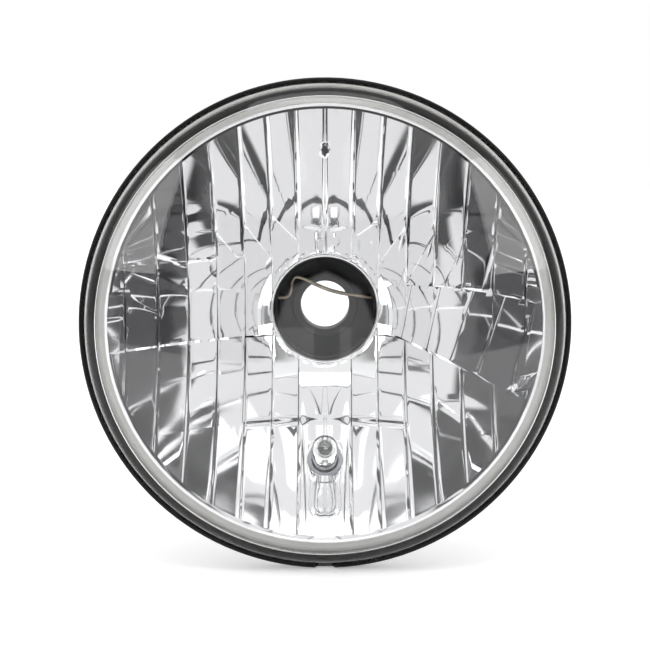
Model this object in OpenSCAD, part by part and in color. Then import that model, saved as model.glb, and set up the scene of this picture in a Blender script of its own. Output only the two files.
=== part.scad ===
// Seven inch headlight unit with a clear domed lens and a multi-facet reflector.
// The lamp axis lies along Y, the lens looks along -Y, and +Z is up.
// The origin is on the lamp axis, in the plane of the mounting rim.

/* [Rim and lens] */
// Outside diameter of the mounting rim, mm
rim_d = 178; // [170:0.5:186]
// Width left between the rim and the lens foot, for the ring's wall, mm
rim_wall = 2.4; // [2:0.1:3.2]
// Thickness of the lens glass, mm
lens_t = 3.8; // [3:0.1:4.4]
// Height of the lens skirt in front of the rim plane, mm
skirt_h = 8; // [4:0.5:14]
// Rise of the lens dome above its skirt, mm
dome_rise = 24; // [14:0.5:32]
// Width of the lens's locating tab at 6 o'clock, mm
tab_w = 5.2; // [4:0.1:8]

/* [Reflector] */
// Width of the rim, from the reflector's open mouth to the outside, mm
rim_w = 10.7; // [10:0.1:12]
// Focal length of the base paraboloid, mm
focal = 22; // [21.5:0.1:23]
// Pitch of the facet grid, mm
pitch = 10.4; // [9:0.1:12]
// Depth of the upright flutes above the band, mm
flute_upper = 0.9; // [0.2:0.1:1.2]
// Depth of the upright flutes below the band, mm
flute_lower = 0.5; // [0.1:0.1:1]
// Depth of the facets in the band left and right of the bulb, mm
flute_band = 0.2; // [0:0.05:0.6]
// Height of the ledges where the zones of facets meet, mm
ledge = 0.5; // [0.2:0.1:0.8]
// Slope angle of the right band's lower edge, degrees
kick_up = 21; // [12:1:25]
// Wall thickness of the bowl, mm
wall = 2.4; // [2:0.1:3.2]

/* [Bulb neck, seat and clip] */
// Bore of the bulb seat, mm
seat_bore_d = 38.2; // [37:0.1:39]
// Width from the seat's bore to the outside of the neck that carries the boot, mm
neck_w = 13.9; // [13:0.1:16]
// Length of the neck behind its floor, mm
neck_len = 10.5; // [9:0.5:13]
// Wire diameter of the bulb clip, mm
wire_d = 1.5; // [1.3:0.1:1.8]

/* [Boot] */
// Bore of the boot's centre sleeve, mm
sleeve_d = 19.6; // [18:0.2:21]
// Thickness of the boot's wall, mm
boot_t = 2.2; // [1.6:0.1:3]

/* [Position lamp and vent] */
// Height of the position lamp above the lower edge of the mouth, mm
park_inset = 22.8; // [20:0.2:26]
// Upward tilt of the position lamp, degrees
park_tilt = 28; // [20:1:36]
// Diameter of the position lamp bulb's glass, mm
park_glass_d = 9.7; // [9:0.1:10.2]
// Diameter of the vent hole, mm
vent_d = 3; // [2:0.1:4]
// Distance of the vent hole below the upper edge of the mouth, mm
vent_inset = 15.6; // [13:0.1:18]

/* [Hidden] */
rim_r = rim_d / 2;
lens_r = rim_r - rim_wall;
mouth_r = rim_r - rim_w;
round_fn = 96;
small_fn = 32;

// Depths of the rim's section, from the front to the rear along Y
ring_front_y = -3.4;
lip_front_y = -0.5;
gap_floor_y = 0.2;
foot_y = 2;
channel_y = 3;
flange_y = 5;
ring_rear_y = 6.2;
// Radii of the rim's section
ring_fit = 0.3;
ring_in_r = lens_r + ring_fit;
lip_r = mouth_r + 1;
flange_r = ring_in_r - 0.2;
leg_in_r = lip_r + 0.9;
seat_face_r = ring_in_r - 0.4;
lug_r = rim_r - 0.5;
lug_y = ring_rear_y + 2.8;

// The bowl: its vertex lies on the mouth's plane plus the paraboloid's depth
mouth_y = 0.33;
vertex_y = mouth_y + mouth_r * mouth_r / (4 * focal);

// The neck and what it holds, behind the floor
neck_t = 3;
neck_root = 12;
floor_t = 1.5;
seat_r = seat_bore_d / 2;
neck_r = seat_r + neck_w;
neck_in_r = neck_r - neck_t;
floor_y = vertex_y - floor_t;
neck_end = floor_y + neck_len;
collar_r = seat_r + 1;
bulb_hole_r = collar_r + 0.4;
seat_t = 1.2;
seat_y = floor_y + seat_t;
seat_out_r = neck_in_r - 0.5;
screw_r = neck_in_r - 4.5;
screw_head_r = 2.4;
screw_angles = [90, 230, 310];
wire_r = wire_d / 2;
hinge_x = 5 - neck_in_r;
hinge_y = floor_y + 4;
pin_fit = 0.05;
leg_z = 3.8;
ear_z = leg_z + wire_r + 0.2;
ear_t = 1.5;
pin_end_z = ear_z + ear_t + 0.7;
plate_t = 1;
plate_y = seat_y + plate_t;
rivet_z = 8.6;
key_main_w = 9;
key_side_w = 6;
key_depth = 2.4;
// The catch for the clip: a stem with a head as wide as the gap between the clip's legs
catch_x = neck_in_r - 7.4;
catch_t = 1.2;
catch_head = 2;
catch_h = 4.8;
clip_end_x = neck_in_r - 2;
loop_x = seat_r - 5.1;
under_r = (seat_r + key_depth + screw_r - screw_head_r) / 2;

// The boot
boot_fit = 0.1;
sleeve_r = sleeve_d / 2;
sleeve_out_r = sleeve_r + 3.4;
boot_lap = 3;
boot_front_y = floor_y - boot_lap;
boot_in_r = neck_r + boot_fit;
boot_wall_y = neck_end + 8.2;
sleeve_front_y = neck_end + 3;
sleeve_rear_y = boot_wall_y + boot_t + 3.6;

// The position lamp
park_drop = mouth_r - park_inset;
park_y = vertex_y - park_drop * park_drop / (4 * focal);
park_glass_r = park_glass_d / 2;
glass_wall = 0.6;
bush_in_r = park_glass_r + 0.35;
bush_r = bush_in_r + 1.6;
bush_fit = 0.05;
bush_front = 1.6;
boss_r = bush_r + 3.6;
boss_end = -10;
socket_top = -9.2;
socket_end = -20;
bush_end = -23;
wedge_w = 9.2;
wedge_h = 2.2;
wedge_top = -8;
wedge_end = -17.5;
dome_z = 15.4;
post_x = 1.7;
post_r = 0.28;
post_top = 8.8;
blade_w = 3.2;
blade_t = 0.5;
blade_place = (wedge_h + blade_t) / 2;

// The vent
vent_z = mouth_r - vent_inset;
vent_boss_r = 4;
vent_boss_y = skin_y(vent_z) + 11.6;
vent_root_y = bowl_y(vent_z) - 5;
cap_lap = 3.1;
cap_front_y = vent_boss_y - cap_lap;

// Turns a profile drawn as (radius, depth) about the lamp axis
module about_axis() {
    rotate([-90, 0, 0])
        rotate_extrude($fn = round_fn)
            children();
}

// A rod along Y from one depth to another
module rod_y(r, y0, y1, sides = round_fn) {
    translate([0, y0, 0])
        rotate([-90, 0, 0])
            cylinder(r = r, h = y1 - y0, $fn = sides);
}

// Puts a child at an angle on a circle about the lamp axis, counted from +X towards +Z
module at_angle(r, angle) {
    translate([r * cos(angle), 0, r * sin(angle)])
        children();
}

// Puts a child in the position lamp's frame, its +Z along the bulb towards the lens
module place_park() {
    translate([0, park_y, -park_drop])
        rotate([90 - park_tilt, 0, 0])
            children();
}

// Points of an arc from angle a0 to angle a1
function arc(cx, cy, r, a0, a1, steps) =
    [for (i = [0:steps]) let (a = a0 + (a1 - a0) * i / steps) [cx + r * cos(a), cy + r * sin(a)]];

// Depth of the base paraboloid and of the bowl's outer skin at a distance from the axis
function bowl_y(r) = vertex_y - r * r / (4 * focal);
function skin_y(r) = bowl_y(r) + wall * sqrt(1 + pow(r / (2 * focal), 2)) + 0.4;

// The lens: a tapered skirt, a round shoulder and a dome that is a part of a sphere
shoulder_r = 5;
skirt_taper = 0.9;
shoulder_cx = lens_r - skirt_taper - shoulder_r;
dome_r = (pow(shoulder_cx, 2) + pow(dome_rise, 2) - pow(shoulder_r, 2)) / (2 * (dome_rise - shoulder_r));
dome_half = asin(shoulder_cx / (dome_r - shoulder_r));
dome_cy = -skirt_h + (dome_r - shoulder_r) * cos(dome_half);

function lens_skin(inset, end_y) = concat(
    [[lens_r - inset, end_y], [lens_r - inset - 0.1, 0]],
    arc(shoulder_cx, -skirt_h, shoulder_r - inset, 0, -90 + dome_half, 6),
    [for (i = [1:16])
        let (a = dome_half * (1 - i / 16))
        [(dome_r - inset) * sin(a), dome_cy - (dome_r - inset) * cos(a)]],
    [[0, end_y]]);

module lens() {
    tab_reach = rim_r - 0.4;
    color([0.86, 0.88, 0.9, 0.4])
        union() {
            difference() {
                about_axis() polygon(lens_skin(0, foot_y));
                about_axis() polygon(lens_skin(lens_t, foot_y + 2));
            }
            translate([-tab_w / 2, gap_floor_y - 2.4, -tab_reach])
                cube([tab_w, 2.3, tab_reach - lens_r + 1.6]);
        }
}

// The bead fills the channel under the foot, climbs the lip inside it and fills the gap between
// the skirt and the ring
module lens_seal() {
    in_r = lip_r + 0.05;
    wall_r = lens_r - lens_t - 0.1;
    film_y = ring_front_y + 0.8;
    film_r = lens_r - 0.1 + (skirt_taper - 0.1) * film_y / skirt_h;
    color([0.85, 0.84, 0.8])
        about_axis()
            polygon([[in_r, channel_y], [ring_in_r, channel_y], [ring_in_r, film_y], [film_r, film_y],
                [lens_r - 0.1, 0], [lens_r, foot_y], [wall_r, foot_y], [wall_r, 0.9],
                [wall_r - 1.4, 0.1], [in_r, 0.5]]);
}

// The ring holds the flange and the lens foot: a wall with a rounded edge, and a leg behind the flange
module rim_ring() {
    edge_r = (rim_r - ring_in_r) / 2;
    color([0.05, 0.05, 0.055])
        union() {
            difference() {
                about_axis()
                    polygon(concat(
                        [[ring_in_r, flange_y]],
                        arc(ring_in_r + edge_r, ring_front_y + edge_r, edge_r, 180, 360, 12),
                        [[rim_r, ring_rear_y - 0.9], [rim_r - 0.5, ring_rear_y - 0.3],
                            [seat_face_r, ring_rear_y - 0.3], [seat_face_r, ring_rear_y],
                            [leg_in_r, ring_rear_y], [leg_in_r, flange_y]]));
                // The gap at 6 o'clock opens wider towards the front
                translate([0, 0, -rim_r - 1])
                    linear_extrude(5)
                        polygon([[-tab_w / 2 - 0.2, gap_floor_y], [tab_w / 2 + 0.2, gap_floor_y],
                            [tab_w / 2 + 1.6, ring_front_y - 0.5], [-tab_w / 2 - 1.6, ring_front_y - 0.5]]);
            }
            ring_lug(90, 12);
            ring_lug(215, 8);
            ring_lug(325, 8);
        }
}

// A locating lug on the ring's rear, outside the seat face
module ring_lug(angle, width) {
    intersection() {
        about_axis()
            polygon([[seat_face_r + 0.3, ring_rear_y - 0.6], [lug_r, ring_rear_y - 0.6],
                [lug_r, lug_y - 0.6], [lug_r - 0.6, lug_y], [seat_face_r + 0.3, lug_y]]);
        rotate([0, -angle, 0])
            translate([seat_face_r - 4, 0, -width / 2])
                cube([10, lug_y + 2, width]);
    }
}

// The facets. The grid's upright lines lie at whole pitches from the axis. A band of shallow
// facets crosses the bowl left and right of the bulb, with deeper flutes above and below it.
seam = 0.15;
end_z = 22;
end_x = sqrt(mouth_r * mouth_r - end_z * end_z);
last_col = floor((end_x - 1) / pitch);
col_cells = 3;
zone_cells = [3, 4, 4, 2, 2, 4];
kick_start = bulb_hole_r + 7.3;

// The lines of equal X, each with the column it belongs to; the outermost ones follow the mouth
facet_lines = concat(
    [[-end_x, -last_col - 1], [-(end_x + last_col * pitch) / 2, -last_col - 1],
        [-last_col * pitch - seam, -last_col - 1]],
    [for (k = [-last_col:last_col - 1], i = [0:col_cells])
        [k * pitch + seam + (pitch - 2 * seam) * i / col_cells, k]],
    [[last_col * pitch + seam, last_col], [(end_x + last_col * pitch) / 2, last_col], [end_x, last_col]]);

function half_height(x) = abs(x) > end_x - 0.01 ? end_z : sqrt(mouth_r * mouth_r - x * x);

// Ends of the ledge below the upper flutes, as (x, z, x, z) from the axis outwards, for the
// columns next to the bulb
right_ledges = [[0.8, 31.1, 9.8, 32.8], [11.9, 28.7, 20.6, 35.2], [21.8, 19.2, 29.9, 31.6],
    [32.3, 11.5, 40.5, 28.9], [46.1, 11.3, 51.2, 26.1], [59.7, 10.3, 62.5, 30]];
left_ledges = [[1, 31.5, 9.5, 33], [11.7, 27.9, 19.7, 36.4], [22, 21.3, 29.3, 31.9],
    [34.5, 21.9, 40.1, 29.7]];
step_cols = 3;

// Heights where the zones meet: the lower step, the band's lower and upper edges, the ledge below
// the upper flutes, and the cross seam of the outer flutes
function step_z(x) = max(-4 * pitch, -0.93 * half_height(x));
function band_low(x) = max(-pitch - tan(kick_up) * max(0, x - kick_start), -0.85 * half_height(x));
function band_top(k) = k >= 0 ? pitch : 2 * pitch;
function ledge_z(x, k) =
    let (n = k >= 0 ? k : -k - 1, list = k >= 0 ? right_ledges : left_ledges,
        e = n < len(list) ? list[n] : [0, 0, 1, 0], slope = (e[3] - e[1]) / (e[2] - e[0]))
    max(e[1] + slope * (abs(x) - e[0]), band_top(k) + 1.2);
function cross_z(x, k) = max(3 * pitch, ledge_z(x, k) + 1.2);

function span(a, b, cells) = [for (i = [0:cells]) a + (b - a) * i / cells];

// The rows of one line, zone by zone; near the mouth's sides the zones close up in order
function line_heights(x, k) =
    let (h = half_height(x), gap = 1.2,
        s = step_z(x),
        lo = max(band_low(x), s + gap),
        hi = min(band_top(k), h - 3 * gap),
        top = min(ledge_z(x, k), h - 2 * gap),
        mid = min(cross_z(x, k), h - gap)) [
        span(-h, s - seam, zone_cells[0]), span(s + seam, lo - seam, zone_cells[1]),
        span(lo + seam, hi - seam, zone_cells[2]), span(hi + seam, top - seam, zone_cells[3]),
        span(top + seam, mid - seam, zone_cells[4]), span(mid + seam, h, zone_cells[5])];

// How far a facet's surface lies behind the base paraboloid
function facet_depth(zone, x, k) =
    let (u = (x - (k + 0.5) * pitch) / (pitch / 2), hollow = 1 - u * u, side = k >= 0 ? 1 : -1,
        stepped = zone == 1 && abs(k + 0.5) < step_cols ? 0.35 : 0)
    zone > 3 ? ledge + flute_upper * hollow + 0.2 * side * u :
    zone > 1 ? flute_band * hollow + 0.25 * side * u + (zone == 3 ? 0.1 : 0) :
    ledge + stepped + flute_lower * hollow - 0.2 * side * u;

zone_count = len(zone_cells);
facet_rows = len([for (zone = line_heights(0, 0)) for (z = zone) z]);

facet_points = [for (line = facet_lines)
    let (x = line[0], k = line[1], zones = line_heights(x, k))
    for (zone = [0:zone_count - 1]) for (z = zones[zone])
        let (px = abs(x) > end_x - 0.01 ? sign(x) * sqrt(mouth_r * mouth_r - z * z) : x)
        [px, bowl_y(norm([px, z])) + facet_depth(zone, x, k), z]];

// The space inside the bowl, up to a flat cap in front of the mouth
module facet_space() {
    cap_y = lip_front_y - 2;
    rows = facet_rows;
    lines = len(facet_lines);
    edge = concat(
        [for (i = [0:lines - 1]) i * rows],
        [for (j = [1:rows - 1]) (lines - 1) * rows + j],
        [for (i = [lines - 2:-1:0]) i * rows + rows - 1],
        [for (j = [rows - 2:-1:1]) j]);
    total = len(facet_points);
    edge_n = len(edge);
    cap_points = [for (e = edge) [facet_points[e][0], cap_y, facet_points[e][2]]];
    surface = [for (i = [0:lines - 2], j = [0:rows - 2])
        let (a = i * rows + j, b = a + rows)
        each [[a, b, b + 1], [a, b + 1, a + 1]]];
    sides = [for (q = [0:edge_n - 1])
        let (next = (q + 1) % edge_n)
        [edge[next], edge[q], total + q, total + next]];
    cap = [[for (q = [edge_n - 1:-1:0]) total + q]];
    polyhedron(
        points = concat(facet_points, cap_points),
        faces = concat(surface, sides, cap),
        convexity = 6);
}

// The bowl's outer form with its channel flange, closed at the front
module bowl_blank() {
    about_axis()
        polygon(concat(
            [[0, lip_front_y]],
            [for (i = [0:19]) let (r = (mouth_r - 2.3) * i / 19) [r, skin_y(r)]],
            [[lip_r + 0.6, flange_y], [flange_r, flange_y], [flange_r, channel_y],
                [lip_r, channel_y], [lip_r, lip_front_y]]));
}

module reflector() {
    color([0.84, 0.85, 0.87])
        difference() {
            union() {
                bowl_blank();
                rod_y(neck_r, vertex_y - neck_root, neck_end);
                place_park() translate([0, 0, boss_end]) cylinder(r = boss_r, h = 12, $fn = round_fn);
                translate([0, 0, vent_z]) rod_y(vent_boss_r, vent_root_y, vent_boss_y, small_fn);
            }
            facet_space();
            rod_y(neck_in_r, floor_y, neck_end + 1);
            rod_y(bulb_hole_r, vertex_y - 2 * neck_root, floor_y + 1);
            place_park()
                translate([0, 0, boss_end - 1])
                    cylinder(r = bush_r + bush_fit, h = 24, $fn = small_fn);
            translate([0, 0, vent_z])
                rod_y(vent_d / 2, vent_root_y - 2, vent_boss_y + 1, small_fn);
            for (angle = screw_angles)
                at_angle(screw_r, angle) rod_y(1.25, floor_y - 4, floor_y + 1, small_fn);
        }
}

// The pressed steel holder ring: a plate with a collar, three key notches and the clip's catch
module bulb_seat() {
    collar_front_y = floor_y - 2;
    color([0.09, 0.09, 0.1])
        difference() {
            union() {
                about_axis()
                    polygon([[seat_r, collar_front_y], [collar_r, collar_front_y], [collar_r, floor_y],
                        [seat_out_r, floor_y], [seat_out_r, seat_y], [seat_r, seat_y]]);
                // The catch stands between the clip's legs, with a head wider than its stem
                translate([catch_x + catch_head - catch_t, seat_y - 0.5, -catch_t])
                    cube([catch_t, catch_h + 0.5, 2 * catch_t]);
                translate([catch_x, seat_y + catch_h - 1, -catch_head - 0.4])
                    cube([catch_head, 1, 2 * catch_head + 0.8]);
            }
            key_notch(90, key_main_w);
            key_notch(210, key_side_w);
            key_notch(330, key_side_w);
            for (angle = screw_angles)
                at_angle(screw_r, angle) rod_y(1.45, floor_y - 1, seat_y + 1, small_fn);
            for (side = [-1, 1])
                translate([hinge_x, 0, side * rivet_z]) rod_y(1.1, floor_y - 1, seat_y + 1, small_fn);
        }
}

// A notch in the seat's bore for one of the bulb's three keys
module key_notch(angle, width) {
    rotate([0, -angle, 0])
        translate([seat_r - 2, floor_y - 4, -width / 2])
            cube([2 + key_depth, 8, width]);
}

// A pan-head screw with a cross recess, head towards the rear
module seat_screw(angle) {
    color([0.7, 0.7, 0.72])
        at_angle(screw_r, angle)
            difference() {
                union() {
                    rod_y(1.2, floor_y - 3.8, seat_y + 0.5, small_fn);
                    rod_y(screw_head_r, seat_y, seat_y + 1.2, small_fn);
                }
                for (turn = [0, 90])
                    rotate([0, turn, 0])
                        translate([-1.4, seat_y + 0.5, -0.25])
                            cube([2.8, 2, 0.5]);
            }
}

// The bracket's two ears carry the clip's hinge ends
module clip_bracket() {
    ear_r = 1.7;
    color([0.62, 0.62, 0.63])
        difference() {
            union() {
                translate([hinge_x - 2.4, seat_y, -rivet_z - 2]) cube([4.8, plate_t, 2 * rivet_z + 4]);
                for (low = [-ear_z - ear_t, ear_z]) {
                    translate([hinge_x - ear_r, plate_y - 0.4, low])
                        cube([2 * ear_r, hinge_y - plate_y + 0.4, ear_t]);
                    translate([hinge_x, hinge_y, low]) cylinder(r = ear_r, h = ear_t, $fn = small_fn);
                }
            }
            translate([hinge_x, hinge_y, -ear_z - ear_t - 1])
                cylinder(r = wire_r + pin_fit, h = 2 * (ear_z + ear_t + 1), $fn = small_fn);
            for (side = [-1, 1])
                translate([hinge_x, 0, side * rivet_z]) rod_y(1.1, seat_y - 1, plate_y + 1, small_fn);
        }
}

module bracket_rivet(side) {
    color([0.68, 0.68, 0.7])
        translate([hinge_x, 0, side * rivet_z])
            union() {
                rod_y(1.05, floor_y, plate_y + 0.3, small_fn);
                rod_y(1.7, plate_y, plate_y + 0.8, small_fn);
            }
}

// The clip's wire, as its middle line (x, z): out from the hinge, over the bulb's ring, round
// the front of the catch and back below the bore, between it and the screws
clip_line = concat(
    [[hinge_x, leg_z], [hinge_x + 6, leg_z], [hinge_x + 10, leg_z], [0.5 - loop_x, 6],
        [0.8 - loop_x, 11], [3 - loop_x, 12.6], [-2, 8.2], [4.1, 6], [12, 4.7],
        [catch_x - 3.6, leg_z], [clip_end_x, leg_z], [clip_end_x, -leg_z], [catch_x - 1.2, -leg_z - 0.4]],
    [for (a = [-28:-18.8:-154]) [under_r * cos(a), under_r * sin(a)]],
    [[hinge_x + 3, -leg_z], [hinge_x, -leg_z]]);

// Cuts each corner of a line twice, which rounds it, and keeps its ends
function cut_corners(line) = concat([line[0]],
    [for (i = [0:len(line) - 2])
        each [line[i] * 0.75 + line[i + 1] * 0.25, line[i] * 0.25 + line[i + 1] * 0.75]],
    [line[len(line) - 1]]);

function along(line, i) =
    let (step = line[min(i + 1, len(line) - 1)] - line[max(i - 1, 0)])
    step / norm(step);

module bent_wire(line, r, sides = 10) {
    count = len(line);
    points = [for (i = [0:count - 1], s = [0:sides - 1])
        let (t = along(line, i), a = 360 * (s + 0.5) / sides)
        [line[i][0] - t[1] * r * cos(a), r * sin(a), line[i][1] + t[0] * r * cos(a)]];
    skin = [for (i = [0:count - 2], s = [0:sides - 1])
        let (a = i * sides + s, b = i * sides + (s + 1) % sides)
        each [[a, b, b + sides], [a, b + sides, a + sides]]];
    ends = [[for (s = [sides - 1:-1:0]) s], [for (s = [0:sides - 1]) (count - 1) * sides + s]];
    polyhedron(points = points, faces = concat(skin, ends), convexity = 6);
}

module bulb_clip() {
    color([0.66, 0.62, 0.54])
        union() {
            translate([0, hinge_y, 0]) bent_wire(cut_corners(cut_corners(clip_line)), wire_r);
            for (low = [-pin_end_z, leg_z - wire_r])
                translate([hinge_x, hinge_y, low])
                    cylinder(r = wire_r, h = pin_end_z - leg_z + wire_r, $fn = small_fn);
        }
}

// The boot: a skirt with a bead over the neck, a stepped wall and a centre sleeve
module dust_boot() {
    out_r = boot_in_r + boot_t;
    cup_r = neck_in_r + 1;
    color([0.04, 0.04, 0.045])
        union() {
            about_axis()
                polygon([[boot_in_r, boot_front_y], [out_r, boot_front_y], [out_r + 1, boot_front_y + 0.9],
                    [out_r + 1, boot_front_y + 2.6], [out_r, boot_front_y + 3.6], [out_r, neck_end - 0.5],
                    [out_r - 1, neck_end + boot_t], [cup_r + boot_t, neck_end + boot_t + 0.6],
                    [cup_r + boot_t, boot_wall_y], [cup_r + 0.6, boot_wall_y + boot_t],
                    [sleeve_out_r + 3, boot_wall_y + boot_t], [sleeve_out_r, boot_wall_y + boot_t + 1.2],
                    [sleeve_out_r - 0.3, sleeve_rear_y], [sleeve_r, sleeve_rear_y],
                    [sleeve_r, sleeve_front_y], [sleeve_out_r - 0.6, sleeve_front_y],
                    [sleeve_out_r, sleeve_front_y + 0.6], [sleeve_out_r, boot_wall_y],
                    [cup_r - 1.4, boot_wall_y], [cup_r, boot_wall_y - 1.4], [cup_r, neck_end],
                    [boot_in_r, neck_end]]);
            // A pull tab at the lower edge
            translate([-5, boot_front_y + 0.3, -out_r - 6]) cube([10, 2, 7]);
        }
}

module vent_cap() {
    in_r = vent_boss_r + boot_fit;
    color([0.05, 0.05, 0.055])
        translate([0, 0, vent_z])
            about_axis()
                polygon([[in_r, cap_front_y], [in_r + 1.3, cap_front_y], [in_r + 1.3, vent_boss_y + 1],
                    [in_r + 0.8, vent_boss_y + 1.6], [0, vent_boss_y + 1.6], [0, vent_boss_y + 0.1],
                    [in_r, vent_boss_y + 0.1]]);
}

// The bush: collar through the bowl's wall, flange on the boss, socket behind
module park_holder() {
    color([0.62, 0.67, 0.72])
        place_park()
            difference() {
                rotate_extrude($fn = round_fn)
                    polygon([[0, bush_end], [bush_r + 0.9, bush_end], [bush_r + 0.9, boss_end - 2.4],
                        [bush_r + 2.6, boss_end - 2.4], [bush_r + 2.6, boss_end], [bush_r, boss_end],
                        [bush_r, bush_front - 0.5], [bush_r - 0.5, bush_front], [bush_in_r, bush_front],
                        [bush_in_r, socket_top], [0, socket_top]]);
                translate([-wedge_w / 2 - 0.3, -wedge_h / 2 - 0.7, socket_end])
                    cube([wedge_w + 0.6, wedge_h + 1.4, socket_top - socket_end + 1]);
                for (side = [-1, 1])
                    translate([side * wedge_w / 4, side * blade_place, bush_end + 2])
                        cube([blade_w + 0.2, blade_t + 0.2, 6], center = true);
            }
}

// A contact blade: beside the bulb's wedge, and out through the holder's rear
module park_contact(side) {
    color([0.8, 0.66, 0.36])
        place_park()
            translate([side * wedge_w / 4 - blade_w / 2, side * blade_place - blade_t / 2, bush_end - 5])
                cube([blade_w, blade_t, wedge_top - bush_end + 3]);
}

// The glass: a round envelope pinched flat at its base
module park_bulb() {
    color([0.9, 0.92, 0.94, 0.35])
        place_park()
            difference() {
                union() {
                    translate([0, 0, wedge_top + 1])
                        cylinder(r = park_glass_r, h = dome_z - wedge_top - 1, $fn = small_fn);
                    translate([0, 0, dome_z]) sphere(r = park_glass_r, $fn = small_fn);
                    hull() {
                        translate([0, 0, wedge_top + 1])
                            cylinder(r = park_glass_r, h = 0.1, $fn = small_fn);
                        translate([-wedge_w / 2, -wedge_h / 2, wedge_top - 1.5])
                            cube([wedge_w, wedge_h, 0.1]);
                    }
                    translate([-wedge_w / 2, -wedge_h / 2, wedge_end])
                        cube([wedge_w, wedge_h, wedge_top - wedge_end]);
                }
                translate([0, 0, wedge_top + 1.4])
                    cylinder(r = park_glass_r - glass_wall, h = dome_z - wedge_top - 1.4, $fn = small_fn);
                translate([0, 0, dome_z]) sphere(r = park_glass_r - glass_wall, $fn = small_fn);
            }
}

module park_post(side) {
    color([0.7, 0.7, 0.7])
        place_park()
            translate([side * post_x, 0, wedge_top + 1.4])
                cylinder(r = post_r, h = post_top - wedge_top - 1.4, $fn = small_fn);
}

module park_filament() {
    reach = post_x - post_r;
    color([0.5, 0.5, 0.5])
        place_park()
            translate([-reach, 0, post_top - 0.5])
                rotate([0, 90, 0])
                    cylinder(r = 0.3, h = 2 * reach, $fn = small_fn);
}

lens();
lens_seal();
rim_ring();
reflector();
bulb_seat();
seat_screw(screw_angles[0]);  // seat_screw_1
seat_screw(screw_angles[1]);  // seat_screw_2
seat_screw(screw_angles[2]);  // seat_screw_3
clip_bracket();
bracket_rivet(1);  // bracket_rivet_upper
bracket_rivet(-1);  // bracket_rivet_lower
bulb_clip();
dust_boot();
vent_cap();
park_holder();
park_contact(-1);  // park_contact_left
park_contact(1);  // park_contact_right
park_bulb();
park_post(-1);  // park_post_left
park_post(1);  // park_post_right
park_filament();
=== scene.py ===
import math

import bpy
from mathutils import Matrix, Vector


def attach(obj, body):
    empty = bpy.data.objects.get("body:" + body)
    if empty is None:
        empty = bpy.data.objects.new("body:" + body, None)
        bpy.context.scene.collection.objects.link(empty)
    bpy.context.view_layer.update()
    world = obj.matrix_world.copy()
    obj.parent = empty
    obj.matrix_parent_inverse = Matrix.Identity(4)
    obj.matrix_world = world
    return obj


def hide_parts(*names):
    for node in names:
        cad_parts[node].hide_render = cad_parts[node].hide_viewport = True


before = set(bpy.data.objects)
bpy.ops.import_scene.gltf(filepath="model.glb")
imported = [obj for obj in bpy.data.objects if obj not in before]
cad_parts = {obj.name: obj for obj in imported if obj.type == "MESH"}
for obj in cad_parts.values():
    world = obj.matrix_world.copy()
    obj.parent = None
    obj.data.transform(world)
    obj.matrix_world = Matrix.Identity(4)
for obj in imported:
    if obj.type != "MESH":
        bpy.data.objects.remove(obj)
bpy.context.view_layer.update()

# Camera
# It stands in front of the lamp and a little above the axis, 0.7 m away.
mm = 0.001
camera_data = bpy.data.cameras.new("camera")
camera_data.lens = 107
camera_data.sensor_width = 36
camera_data.dof.use_dof = False
camera_data.clip_start = 0.01
camera = bpy.data.objects.new("camera", camera_data)
camera.location = (0, -696.5 * mm, 69.5 * mm)
camera.rotation_euler = (math.radians(90 - 5.7), 0, 0)
bpy.context.scene.collection.objects.link(camera)
bpy.context.scene.camera = camera
bpy.context.scene.view_settings.view_transform = "Standard"


# Stage
# A white table stands in a pale light tent. The bright bowl mirrors the camera's side of the tent, so
# that side has a pale field in the middle, dark flags round it, dim wings and two soft boxes.
class Wire:
    """A shader socket that takes part in arithmetic. node() adds any other node to its tree."""

    def __init__(self, tree, socket=None):
        self.tree = tree
        self.socket = socket

    def node(self, kind, settings=None, values=None, output=0):
        made = self.tree.nodes.new(kind)
        for name, value in (settings or {}).items():
            setattr(made, name, value)
        for name, value in (values or {}).items():
            if isinstance(value, Wire):
                self.tree.links.new(value.socket, made.inputs[name])
            else:
                made.inputs[name].default_value = value
        return Wire(self.tree, made.outputs[output])

    def maths(self, operation, *terms):
        return self.node("ShaderNodeMath", {"operation": operation}, dict(enumerate(terms)))

    def __add__(self, other):
        return self.maths("ADD", self, other)

    def __sub__(self, other):
        return self.maths("SUBTRACT", self, other)

    def __mul__(self, other):
        return self.maths("MULTIPLY", self, other)

    def __truediv__(self, other):
        return self.maths("DIVIDE", self, other)

    def __radd__(self, other):
        return self.maths("ADD", other, self)

    def __rsub__(self, other):
        return self.maths("SUBTRACT", other, self)

    def __rmul__(self, other):
        return self.maths("MULTIPLY", other, self)

    def __rtruediv__(self, other):
        return self.maths("DIVIDE", other, self)

    def ramp(self, low, high, start=0.0, end=1.0):
        """start where this value is low or less, end where it is high or more, smooth between."""
        return self.node(
            "ShaderNodeMapRange",
            {"interpolation_type": "SMOOTHSTEP"},
            {"Value": self, "From Min": low, "From Max": high, "To Min": start, "To Max": end},
        )

    def blend(self, first, second):
        """The first colour where this value is 0, the second where it is 1."""
        return self.node("ShaderNodeMix", {"data_type": "RGBA"}, {0: self, 6: first, 7: second}, 2)

    def into(self, shader, name):
        self.tree.links.new(self.socket, shader.inputs[name])

    def place(self):
        """The place on the piece, in metres."""
        return self.node("ShaderNodeTexCoord", output="Object")

    def axes(self):
        return [self.node("ShaderNodeSeparateXYZ", None, {0: self.place()}, i) for i in range(3)]

    def noise(self, scale, detail=3.0):
        values = {"Vector": self.place(), "Scale": scale, "Detail": detail}
        return self.node("ShaderNodeTexNoise", None, values)

    def bump(self, height, distance):
        return self.node("ShaderNodeBump", None, {"Height": height, "Distance": distance})


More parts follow.
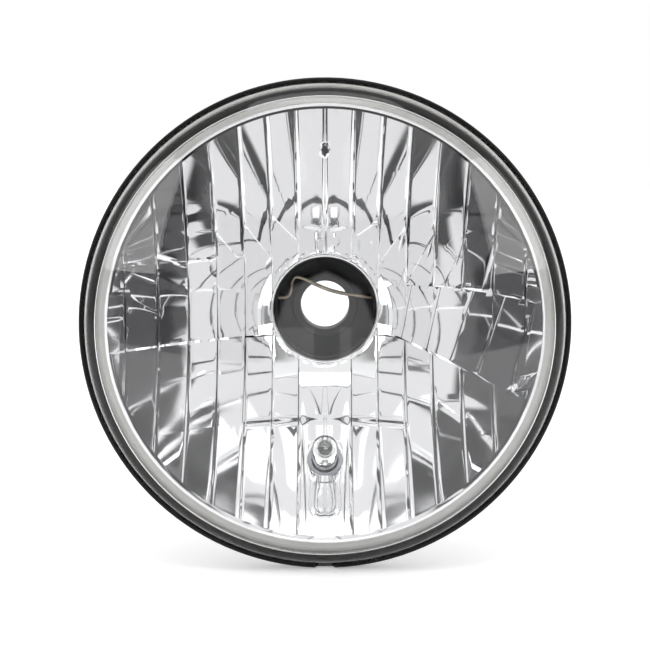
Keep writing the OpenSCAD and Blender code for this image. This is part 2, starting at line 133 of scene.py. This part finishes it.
def material(name, colour, roughness, **others):
    """A new material with these constants; gives it, its shader and a Wire to build on."""
    made = bpy.data.materials.new(name)
    made.use_nodes = True
    shader = made.node_tree.nodes["Principled BSDF"]
    shader.inputs["Base Color"].default_value = (*colour, 1)
    shader.inputs["Roughness"].default_value = roughness
    for socket, value in others.items():
        shader.inputs[socket.replace("_", " ")].default_value = value
    return made, shader, Wire(made.node_tree)


def only(piece):
    """Selects this piece alone and makes it active."""
    bpy.ops.object.select_all(action="DESELECT")
    piece.select_set(True)
    bpy.context.view_layer.objects.active = piece


def between(value, low, high, soft):
    """1 from low to high, with soft edges, and 0 elsewhere."""
    return value.ramp(low, low + soft) * value.ramp(high, high + soft, 1, 0)


world = bpy.data.worlds.new("studio")
bpy.context.scene.world = world
world.use_nodes = True
sky = Wire(world.node_tree)
background = world.node_tree.nodes["Background"]
way = sky.node("ShaderNodeTexCoord", output="Generated")
side, ahead, up = [sky.node("ShaderNodeSeparateXYZ", None, {0: way}, i) for i in range(3)]
wide = side.maths("ABSOLUTE", side)
reach = side.maths("SQRT", side * side + up * up)
facing = ahead.ramp(-0.05, 0.0, 1, 0)
field_side = (wide + up * 0.35).ramp(0.17, 0.195, 1, 0)
field_top = (up + wide * 0.5).ramp(0.145, 0.18, 1, 0)
field = field_side * field_top * up.ramp(-0.38, -0.34)
flag_soft = 0.04
flag_height = between(up, -0.42, 0.36, flag_soft)
flag = facing * wide.ramp(0.42, 0.42 + flag_soft, 1, 0) * flag_height * (1 - field)
wing = facing * between(reach, 0.6, 0.79, flag_soft) * wide.ramp(0.48, 0.54)
box_soft = 0.005
box = between(side, -0.2, -0.05, box_soft) + between(side, 0.06, 0.11, box_soft)
box = box * between(up, -0.25, -0.08, box_soft)
tent_tone, box_tone, wing_tone = (0.97, 0.97, 0.97, 1), (1.5, 1.5, 1.5, 1), (0.3, 0.3, 0.3, 1)
flag_tone = (0.025, 0.025, 0.027, 1)
tent = flag.blend(wing.blend(box.blend(tent_tone, box_tone), wing_tone), flag_tone)
looked_at = sky.node("ShaderNodeLightPath", output="Is Camera Ray")
looked_at.blend(tent, (1, 1, 1, 1)).into(background, "Color")
background.inputs["Strength"].default_value = 1.0

floor_z = -89.2 * mm
bpy.ops.mesh.primitive_plane_add(size=5, location=(0, 2.15, floor_z))
floor = bpy.context.object
floor.name = "floor"
floor_look, floor_shader, _ = material("floor", (0.9, 0.9, 0.9), 0.6)
floor_shader.inputs["Emission Color"].default_value = (1, 1, 1, 1)
floor_shader.inputs["Emission Strength"].default_value = 0.35
floor.data.materials.append(floor_look)

for name, place, size, power in (
    ("lamp_top", (0, -0.5, 1.1), (0.8, 0.5), 3.0),
    ("lamp_left", (-0.9, -0.7, 0.45), (0.35, 0.6), 1.5),
    ("lamp_right", (0.9, -0.7, 0.45), (0.35, 0.6), 1.5),
):
    light = bpy.data.lights.new(name, "AREA")
    light.shape = "RECTANGLE"
    light.size, light.size_y = size
    light.energy = power
    lamp = bpy.data.objects.new(name, light)
    lamp.location = place
    lamp.rotation_euler = (-Vector(place)).to_track_quat("-Z", "Y").to_euler()
    bpy.context.scene.collection.objects.link(lamp)


# Lens seal
# A bead of cream sealant runs round the channel and glues the glass in. It is squeezed up in a thin
# film between the glass and the ring.
sealant, shader, wire = material("sealant", (0.93, 0.92, 0.89), 0.5)
cream = wire.noise(90, 4).ramp(0.3, 0.7).blend((0.89, 0.875, 0.84, 1), (0.94, 0.93, 0.91, 1))
cream.into(shader, "Base Color")
wire.bump(wire.noise(160, 4), 0.0004).into(shader, "Normal")
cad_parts["lens_seal"].data.materials[0] = sealant


# Lens
# The domed cover is one piece of pressed clear glass with a plain skirt. It stands in the sealant
# of the channel, which wets its foot and the wall behind film_y. Its tab at 6 o'clock stops it turning.
def spun(name, profile, steps, closed=True, smooth=35):
    """A round piece about the lamp's axis, from a profile of (radius, y) points in mm."""
    points = [(r * mm, y * mm, 0) for r, y in profile]
    count = len(points)
    edges = [(i, (i + 1) % count) for i in range(count if closed else count - 1)]
    mesh = bpy.data.meshes.new(name)
    mesh.from_pydata(points, edges, [])
    piece = bpy.data.objects.new(name, mesh)
    bpy.context.scene.collection.objects.link(piece)
    only(piece)
    bpy.ops.object.mode_set(mode="EDIT")
    bpy.ops.mesh.select_all(action="SELECT")
    bpy.ops.mesh.spin(steps=steps, angle=math.tau, center=(0, 0, 0), axis=(0, 1, 0))
    bpy.ops.mesh.select_all(action="SELECT")
    bpy.ops.mesh.remove_doubles(threshold=0.00001)
    bpy.ops.mesh.normals_make_consistent(inside=False)
    bpy.ops.object.mode_set(mode="OBJECT")
    bpy.ops.object.shade_smooth_by_angle(angle=math.radians(smooth))
    return piece


def arc(cx, cy, radius, start, end, count):
    """Points on an arc in the profile's plane, angles in degrees from the radius direction."""
    angles = [math.radians(start + (end - start) * i / count) for i in range(count + 1)]
    return [(cx + radius * math.cos(a), cy + radius * math.sin(a)) for a in angles]


film_y, foot_y, glass_t = -2.6, 2.0, 3.8


def lens_side(inset):
    rim, shoulder, height, rise, shoulder_x = 86.6, 5.0, 8.0, 24.0, 80.7
    dome = (shoulder_x**2 + rise**2 - shoulder**2) / (2 * (rise - shoulder))
    half = math.degrees(math.asin(shoulder_x / (dome - shoulder)))
    centre = -height + (dome - shoulder) * math.cos(math.radians(half))
    side = [(rim - inset, foot_y), (rim - inset - 0.1, 0), (rim - inset - 0.36, film_y)]
    side += arc(shoulder_x, -height, shoulder - inset, 0, half - 90, 12)
    side += arc(0, centre, dome - inset, half - 90, -90, 40)[1:]
    return side


lens = spun("lens_glass", lens_side(0) + lens_side(glass_t)[::-1], 192, smooth=50)
bpy.ops.object.mode_set(mode="EDIT")
bpy.ops.mesh.select_all(action="DESELECT")
tab_place, tab_size = Vector((0, -1.1, -86.9)) * mm, Vector((5.2, 2.2, 3.3)) * mm
bpy.ops.mesh.primitive_cube_add(size=1, location=tab_place, scale=tab_size)
bpy.ops.mesh.bevel(offset=0.4 * mm, segments=3, affect="EDGES")
bpy.ops.object.mode_set(mode="OBJECT")
bpy.ops.object.shade_smooth_by_angle(angle=math.radians(50))
clear = {"Transmission_Weight": 1.0, "IOR": 1.46}
glass, shader, wire = material("lens_glass", (0.985, 0.99, 0.99), 0.0, **clear)
wire.bump(wire.noise(25, 2), 0.00004).into(shader, "Normal")
lens.data.materials.append(glass)
# The sealant on the glass's foot and wall is a darker, lilac grey copy of the cream bead: painted shade.
shaded_film_look, shader, wire = material("sealant_on_glass_painted_shade", (0.72, 0.7, 0.73), 0.5)
lilac_painted_shade = wire.noise(90, 4).ramp(0.3, 0.7).blend((0.69, 0.67, 0.7, 1), (0.75, 0.73, 0.76, 1))
lilac_painted_shade.into(shader, "Base Color")
lens.data.materials.append(shaded_film_look)
for face in lens.data.polygons:
    middle = face.center / mm
    foot = middle.y > foot_y - 0.1
    wall = middle.y > film_y and math.hypot(middle.x, middle.z) > 86 and middle.z > -84
    if foot or wall:
        face.material_index = 1
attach(lens, "root")
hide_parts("lens")

# Rim ring
# The ring is pressed steel with black paint. It goes round the glass and over the reflector's flange,
# with a gap at 6 o'clock for the tab of the lens.
ring_paint, shader, wire = material("black_ring", (0.004, 0.004, 0.004), 0.3, Specular_IOR_Level=0.2)
wire.noise(60, 5).ramp(0.35, 0.75, 0.24, 0.4).into(shader, "Roughness")
specks = wire.noise(300, 2).ramp(0.62, 0.75)
specks.blend((0.004, 0.004, 0.004, 1), (0.012, 0.012, 0.012, 1)).into(shader, "Base Color")
wire.bump(wire.noise(500, 2), 0.00005).into(shader, "Normal")
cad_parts["rim_ring"].data.materials[0] = ring_paint

# Reflector
# It is moulded in grey plastic, with a bright metal coat inside and on its rim back to coat_end. The
# facets are a skin of their own in front of the coated bowl, since they are finer than its steps.
coat_colour = (0.92, 0.915, 0.925)
bowl_y, four_focal, skin, coat_deep, coat_end = 70, 88, 0.35, 1.3, 6.5


def metal_coat(name):
    made, shader, wire = material(name, coat_colour, 0.03, Metallic=1.0)
    wire.noise(40, 4).ramp(0.3, 0.8, 0.015, 0.06).into(shader, "Roughness")
    wire.bump(wire.noise(60, 2), 0.000003).into(shader, "Normal")
    return made, shader, wire


body_look, shader, wire = metal_coat("reflector_body")
x, y, z = wire.axes()
radius_2 = x * x + z * z
wall = (bowl_y + coat_deep) * mm - radius_2 / (four_focal * mm)
behind = (y - wire.maths("MAXIMUM", wall, coat_end * mm)) * 2000
coated = behind.ramp(0, 1, 1, 0)
grain = wire.noise(220, 4).ramp(0.3, 0.7)
plastic = grain.blend((0.222, 0.222, 0.227, 1), (0.24, 0.24, 0.245, 1))
coated.blend(plastic, (*coat_colour, 1)).into(shader, "Base Color")
coated.into(shader, "Metallic")
coated.ramp(0, 1, 0.55, 0.04).into(shader, "Roughness")
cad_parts["reflector"].data.materials[0] = body_look

pitch, mouth, end_z = 10.4, 78.2, 22.0
end_x = math.sqrt(mouth**2 - end_z**2)
last = 7
# Hollow of the facets and lean across them in mm, from the column at the axis outwards. They were set
# from how the facets mirror the tent
upper_hollow = (0.2, 0.2, 0.18, 0.18, 0.26, 0.2, 0.1, 0.08)
upper_lean = (0.1, 0.1, 0.05, 0.05, 0.1, 0.3, 0.42, 0.45)
lower_hollow = (-0.3, -0.25, -0.15, -0.12, -0.15, -0.12, -0.08, -0.05)
lower_lean = (0.1, 0.1, 0.05, 0.05, 0.1, 0.3, 0.42, 0.45)
band_hollow = (0.05, 0.05, 0.05, 0.05, 0.05, 0.05, 0.03, 0.02)
band_lean = (0.05, 0.05, 0.05, 0.05, 0.05, 0.22, 0.42, 0.45)
band_pitch = 0.01
ledge = 0.5
# Where the upper flutes end above the bulb: column, then the ends of the ledge as (x, z, x, z)
ledges = {
    -4: (-40.1, 29.7, -34.5, 21.9),
    -3: (-29.3, 31.9, -22.0, 21.3),
    -2: (-19.7, 36.4, -11.7, 27.9),
    -1: (-9.5, 33.0, -1.0, 31.5),
    0: (0.8, 31.1, 9.8, 32.8),
    1: (11.9, 28.7, 20.6, 35.2),
    2: (21.8, 19.2, 29.9, 31.6),
    3: (32.3, 11.5, 40.5, 28.9),
    4: (46.1, 11.3, 51.2, 26.1),
    5: (59.7, 10.3, 62.5, 30.0),
}
# Cross seams of the outer columns, left end to right end: below the band's middle, above it, band
# top, and two more above that
cross = {
    -8: ((-5.5, -4.5), (3.5, 2.5), (13.5, 11.0), (17.0, 17.0), (20.0, 20.0)),
    -7: ((-2.0, 0.1), (10.0, 2.4), (19.8, 13.9), (26.0, 28.3), (27.0, 40.0)),
    -6: ((3.0, 3.4), (15.9, 10.0), (23.8, 18.7), (32.3, 30.6), (41.4, 42.9)),
    -5: ((0.0, 0.0), (10.0, 10.0), (20.3, 20.8), (30.6, 31.0), (38.1, 40.5)),
    -4: ((0.0, 0.0), (20.8, 20.8), None, (32.5, 32.7), (35.5, 41.5)),
    -3: ((0.0, 0.0), (20.8, 20.8), None, (34.0, 40.5), (48.0, 50.0)),
    5: ((-6.0, -8.0), (10.0, 9.6), None, (31.2, 31.6), (41.6, 41.6)),
    6: ((-11.0, -15.4), (9.3, 8.4), (20.8, 18.0), (30.0, 27.5), (38.0, 28.2)),
    7: ((-15.4, -16.5), (8.0, 7.5), (14.0, 13.0), (17.0, 17.0), (20.0, 20.0)),
}


def half_height(x):
    return end_z if abs(x) > end_x - 0.01 else math.sqrt(mouth**2 - x * x)


def level(ends, x, k):
    """Height of a seam across column k that runs from one end value to the other."""
    share = min(max((x - k * pitch) / pitch, 0), 1)
    return ends[0] + (ends[1] - ends[0]) * share


def breaks(x, k):
    """The heights at which one facet of column k ends and the next begins, upwards."""
    high = half_height(x)
    step = max(-4 * pitch, -0.93 * high)
    low = max(-pitch - math.tan(math.radians(21)) * max(0, x - 27.8), -0.85 * high)
    base = 10.0 if k >= 0 else 2 * pitch
    seams = cross.get(k, ((0.0, 0.0), (10.0, 10.0) if k >= 2 else (20.0, 20.0), None, None, None))
    inner, upper = level(seams[0], x, k), level(seams[1], x, k)
    if seams[2]:
        top = level(seams[2], x, k)
    elif k in ledges:
        x0, z0, x1, z1 = ledges[k]
        slope = (z1 - z0) / (x1 - x0)
        top = max(z0 + slope * (x - x0), base + 0.4)
    else:
        top = base
    first = level(seams[3], x, k) if seams[3] else top + (high - top) * 0.3
    second = level(seams[4], x, k) if seams[4] else top + (high - top) * 0.6
    marks = [-high, step, low, inner, upper, top, first, second, high]
    for i in range(1, 8):
        marks[i] = max(marks[i], marks[i - 1] + 0.5)
    marks[8] = high
    for i in range(7, 0, -1):
        marks[i] = min(marks[i], marks[i + 1] - 0.5)
    return marks


pillow = (-8, -7, -6, -5, 5, 6, 7)


def facet_depth(x, z, k):
    """How far the facet surface lies behind the plain bowl at this place of column k."""
    marks = breaks(x, k)
    part = 0
    while part < 7 and z > marks[part + 1]:
        part += 1
    u = (x - (k + 0.5) * pitch) / (pitch / 2)
    v = 2 * (z - marks[part]) / (marks[part + 1] - marks[part]) - 1
    hollow = 1 - u * u
    side = 1 if k >= 0 else -1
    n = k if k >= 0 else -k - 1
    if part < 2:
        stepped = 0.35 if part == 1 and n < 3 else 0
        return ledge + stepped + lower_hollow[n] * hollow + lower_lean[n] * side * u
    if part < 5:
        lift = 0.1 * (1 - v * v) if n > 4 else 0
        nod = band_pitch * (z - 2)
        return band_hollow[n] * hollow + band_lean[n] * side * u + lift + nod
    bulge = 0.2 * (1 - v * v) if k in pillow else 0
    return ledge + upper_hollow[n] * hollow + upper_lean[n] * side * u + bulge


# Rows of each facet from its lower edge to its upper one, and the half width of the ridge there
part_rows = (16, 22, 8, 9, 8, 9, 9, 18)
rows = [(part, i / n) for part, n in enumerate(part_rows) for i in range(n + 1)]


def ridge(part, share):
    if part == 0:
        return 0.75 - 0.15 * share
    if part == 1:
        return 0.6 - 0.3 * share
    return 0.12 if part < 5 else 0.5


def seam_width(mark, k):
    """Half the width of the fillet at a mark between two facets of one column."""
    if mark == 1:
        return 0.25 if -4 < k < 3 else 0.02
    if mark in (3, 4):
        return 0.22 if k in cross else 0.02
    return {0: 0.02, 2: 0.4, 5: 0.42, 8: 0.02}.get(mark, 0.25 if k in pillow else 0.02)


def tilt(x):
    """Sideways lean of the right band's upright seams, per mm of height."""
    stops = ((20.8, 0), (31.2, 0.18), (41.6, 0.2), (52, 0.28), (62.4, 0.28), (72.8, 0.24), (78, 0))
    for (xa, a), (xb, b) in zip(stops, stops[1:]):
        if xa <= x <= xb:
            return a + (b - a) * (x - xa) / (xb - xa)
    return 0


def height_of(part, share, x, k):
    marks = breaks(x, k)
    low, high = seam_width(part, k), seam_width(part + 1, k)
    return marks[part] + low + (marks[part + 1] - marks[part] - low - high) * share


def column_point(part, share, k, across):
    """x and z of a point inside column k, at a share of its width, and its x before the tilt."""
    w = ridge(part, share)
    start = k * pitch + w
    stop = (k + 1) * pitch - w
    if k == last:
        stop = end_x
    if k == -last - 1:
        start = -end_x
    x = start + (stop - start) * across
    z = height_of(part, share, x, k)
    if abs(x) > end_x - 0.01:
        return (math.copysign(math.sqrt(mouth**2 - z * z), x), z, x)
    if part in (2, 3) and k >= 2:
        moved = x + tilt(x) * (z + 4.5)
        z = height_of(part, share, moved, k)
        return (moved, z, x)
    return (x, z, x)


def seam_point(part, share, b, t):
    """A point on the ridge between columns b - 1 and b, t from -1 to 1 across it."""
    left = column_point(part, share, b - 1, 1)
    right = column_point(part, share, b, 0)
    s = (t + 1) / 2
    return (left[0] + (right[0] - left[0]) * s, left[1] + (right[1] - left[1]) * s)


def bowl(x, z):
    return bowl_y - (x * x + z * z) / four_focal - skin


grid = []
for k in range(-last - 1, last + 1):
    if k > -last - 1:
        for t in (-0.6, -0.2, 0.2, 0.6):
            line = []
            for part, share in rows:
                x, z = seam_point(part, share, k, t)
                s = (t + 1) / 2
                s = s * s * (3 - 2 * s)
                edge = k * pitch
                behind = (1 - s) * facet_depth(edge - 0.01, z, k - 1) + s * facet_depth(edge + 0.01, z, k)
                crown = 0.14 * ridge(part, share) * (1 - t * t)
                line.append((x, bowl(x, z) + behind - crown, z))
            grid.append(line)
    cells = 4 if k in (last, -last - 1) else 10
    for i in range(cells + 1):
        line = []
        for part, share in rows:
            x, z, flat_x = column_point(part, share, k, i / cells)
            line.append((x, bowl(x, z) + facet_depth(flat_x, z, k), z))
        grid.append(line)

park_centre = Vector((0, 35, -55.5))
park_axis = Vector((0, -0.8829, 0.4695))
opening_r, vent_r, vent_z, bush_r = 21.3, 1.5, 62.7, 6.85


def hole_shift(point):
    """None outside every hole; for a point inside one, that point moved to the hole's edge."""
    x, y, z = point
    for cx, cz, r in ((0, 0, opening_r), (0, vent_z, vent_r)):
        d = math.hypot(x - cx, z - cz)
        if d < r:
            grow = r / max(d, 0.01)
            return (cx + (x - cx) * grow, y, cz + (z - cz) * grow)
    away = Vector(point) - park_centre
    away -= park_axis * away.dot(park_axis)
    if away.length < bush_r and z < -40:
        return tuple(Vector(point) + away * (bush_r / max(away.length, 0.01) - 1))
    return None


points = [p for line in grid for p in line]
moved = [hole_shift(p) for p in points]
deep = len(rows)
faces = []
for i in range(len(grid) - 1):
    for j in range(deep - 1):
        corners = (i * deep + j, (i + 1) * deep + j, (i + 1) * deep + j + 1, i * deep + j + 1)
        if any(moved[c] is None for c in corners):
            faces.append(corners)
places = [[c * mm for c in (m or p)] for p, m in zip(points, moved)]
mesh = bpy.data.meshes.new("reflector_facets")
mesh.from_pydata(places, [], faces)
facets = bpy.data.objects.new("reflector_facets", mesh)
bpy.context.scene.collection.objects.link(facets)
only(facets)
bpy.ops.object.mode_set(mode="EDIT")
bpy.ops.mesh.select_all(action="SELECT")
bpy.ops.mesh.delete_loose()
bpy.ops.object.mode_set(mode="OBJECT")
bpy.ops.object.shade_smooth_by_angle(angle=math.radians(20))
facet_coat, shader, wire = metal_coat("metallised")
facets.data.materials.append(facet_coat)
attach(facets, "root")

# Opening lip
# The moulding turns back round the bulb opening in a small bead, which has the bright metal coat of the
# bowl.
lip_front = [(21.7, 65.2), (21.5, 64.4), (21.1, 64.0), (20.8, 64.1), (20.55, 64.5)]
lip = spun("opening_lip", lip_front + [(20.5, 66.5), (21.7, 66.5)], 96)
lip_coat, shader, wire = metal_coat("lip_coat")
lip.data.materials.append(lip_coat)
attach(lip, "root")

# Mouth edge
# The moulding ends in a fine coated bead round the mouth, with a narrow cone back to the facets.
bead = [(79.3, 0.4), (79.2, -0.5), (79.0, -0.75), (78.7, -0.75), (78.4, -0.5), (78.2, 0.0)]
mouth_bead = spun("mouth_edge", bead + [(77.4, 1.7), (77.9, 1.9), (78.9, 0.6)], 180)
edge_coat, shader, wire = metal_coat("edge_coat")
mouth_bead.data.materials.append(edge_coat)
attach(mouth_bead, "root")

# Bulb seat, its screws, the clip's bracket and rivets
# The seat is pressed steel with a dull black finish. The screws, the bracket and the rivets are steel
# with a zinc coat.
black_steel, shader, wire = material(
    "black_steel", (0.006, 0.006, 0.007), 0.35, Specular_IOR_Level=0.35
)
black = wire.noise(150, 4).ramp(0.3, 0.7).blend((0.005, 0.005, 0.006, 1), (0.014, 0.014, 0.015, 1))
black.into(shader, "Base Color")
wire.noise(400, 3).ramp(0.3, 0.7, 0.28, 0.45).into(shader, "Roughness")
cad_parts["bulb_seat"].data.materials[0] = black_steel
steel, shader, wire = material("seat_steel", (0.6, 0.6, 0.58), 0.32, Metallic=1.0)
zinc = wire.noise(150, 4).ramp(0.3, 0.7).blend((0.52, 0.52, 0.5, 1), (0.66, 0.66, 0.65, 1))
zinc.into(shader, "Base Color")
wire.noise(400, 3).ramp(0.3, 0.7, 0.22, 0.42).into(shader, "Roughness")
screws = ("seat_screw_1", "seat_screw_2", "seat_screw_3")
for name in (*screws, "clip_bracket", "bracket_rivet_upper", "bracket_rivet_lower"):
    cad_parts[name].data.materials[0] = steel

# Bulb clip
# It is bent from round spring steel wire, with a dull tan passivated surface. It swings in the bracket
# on its two ends.
wire_look, shader, wire = material("spring_wire", (0.3, 0.25, 0.19), 0.32, Metallic=1.0)
tan = wire.noise(300, 4).ramp(0.3, 0.7).blend((0.22, 0.18, 0.14, 1), (0.36, 0.31, 0.24, 1))
tan.into(shader, "Base Color")
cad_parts["bulb_clip"].data.materials[0] = wire_look

# Dust boot and vent cap
# Both are moulded black rubber, dull and slightly dusty. The boot grips the neck of the reflector, and
# the cap its vent boss.
rubber, shader, wire = material("black_rubber", (0.016, 0.016, 0.017), 0.5)
dust = wire.noise(120, 5).ramp(0.35, 0.75)
dust.blend((0.014, 0.014, 0.015, 1), (0.032, 0.031, 0.03, 1)).into(shader, "Base Color")
wire.noise(80, 4).ramp(0.3, 0.7, 0.4, 0.62).into(shader, "Roughness")
wire.bump(wire.noise(700, 3), 0.00003).into(shader, "Normal")
for name in ("dust_boot", "vent_cap"):
    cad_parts[name].data.materials[0] = rubber

# Position lamp holder
# It is a pale grey plastic bush in the reflector's wall, with two brass contact blades that stand out
# at its rear.
bush, shader, wire = material("grey_plastic", (0.60, 0.63, 0.67), 0.4)
grey = wire.noise(200, 3).ramp(0.3, 0.7).blend((0.57, 0.60, 0.64, 1), (0.64, 0.67, 0.71, 1))
grey.into(shader, "Base Color")
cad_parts["park_holder"].data.materials[0] = bush
brass, shader, wire = material("contact_brass", (0.72, 0.55, 0.28), 0.25, Metallic=1.0)
tarnish = wire.noise(260, 4).ramp(0.35, 0.75)
tarnish.blend((0.74, 0.57, 0.3, 1), (0.5, 0.36, 0.18, 1)).into(shader, "Base Color")
for name in ("park_contact_left", "park_contact_right"):
    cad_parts[name].data.materials[0] = brass

# Position lamp bulb
# It is a small wedge-base bulb: a thin clear glass envelope, closed by a flat pinch, round two wire
# posts and a filament.
bulb_r, dome_z, glass_wall = 4.85, 15.4, 0.45
bulb_outer = [(0.01, dome_z + bulb_r)] + arc(0, dome_z, bulb_r, 80, 0, 8)
bulb_outer += [(bulb_r, 4.0), (4.6, 1.0), (3.6, -1.2), (2.2, -2.4)]
bulb_inner = [(max(r - glass_wall, 0.005), z - (glass_wall if z > dome_z else 0.0)) for r, z in bulb_outer]
bulb_inner[-1] = (0.01, -1.0)
bulb_inner[-2] = (2.6, -0.6)
bulb = spun("park_bulb_glass", bulb_outer + [(0.01, -2.4)], 64, closed=False)
inner = spun("park_bulb_inner", bulb_inner, 64, closed=False)
only(inner)
bpy.ops.object.mode_set(mode="EDIT")
bpy.ops.mesh.select_all(action="SELECT")
bpy.ops.mesh.normals_make_consistent(inside=True)
bpy.ops.object.mode_set(mode="OBJECT")
bulb.select_set(True)
bpy.context.view_layer.objects.active = bulb
bpy.ops.object.join()
bpy.ops.object.mode_set(mode="EDIT")
bpy.ops.mesh.select_all(action="DESELECT")
pinch_place, pinch_size = Vector((0, -9.7, 0)) * mm, Vector((9.2, 15.4, 2.2)) * mm
bpy.ops.mesh.primitive_cube_add(size=1, location=pinch_place, scale=pinch_size)
bpy.ops.mesh.bevel(offset=0.5 * mm, segments=3, affect="EDGES")
bpy.ops.object.mode_set(mode="OBJECT")
park_turn = Matrix(((1, 0, 0), (0, park_axis.y, park_axis.z), (0, park_axis.z, -park_axis.y)))
park_place = Matrix.Translation(park_centre * mm) @ park_turn.to_4x4()
bulb.data.transform(park_place)
bpy.ops.object.shade_smooth_by_angle(angle=math.radians(35))
thin = {"Transmission_Weight": 1.0, "IOR": 1.5}
bulb_look, shader, wire = material("bulb_glass", (0.97, 0.98, 0.98), 0.0, **thin)
wire.bump(wire.noise(300, 2), 0.00008).into(shader, "Normal")
bulb.data.materials.append(bulb_look)
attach(bulb, "root")
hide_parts("park_bulb")

nickel, shader, wire = material("lamp_wire", (0.6, 0.58, 0.55), 0.3, Metallic=1.0)
dull = wire.noise(500, 3).ramp(0.3, 0.7).blend((0.5, 0.48, 0.45, 1), (0.66, 0.64, 0.6, 1))
dull.into(shader, "Base Color")
for name in ("park_post_left", "park_post_right", "park_filament"):
    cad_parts[name].data.materials[0] = nickel
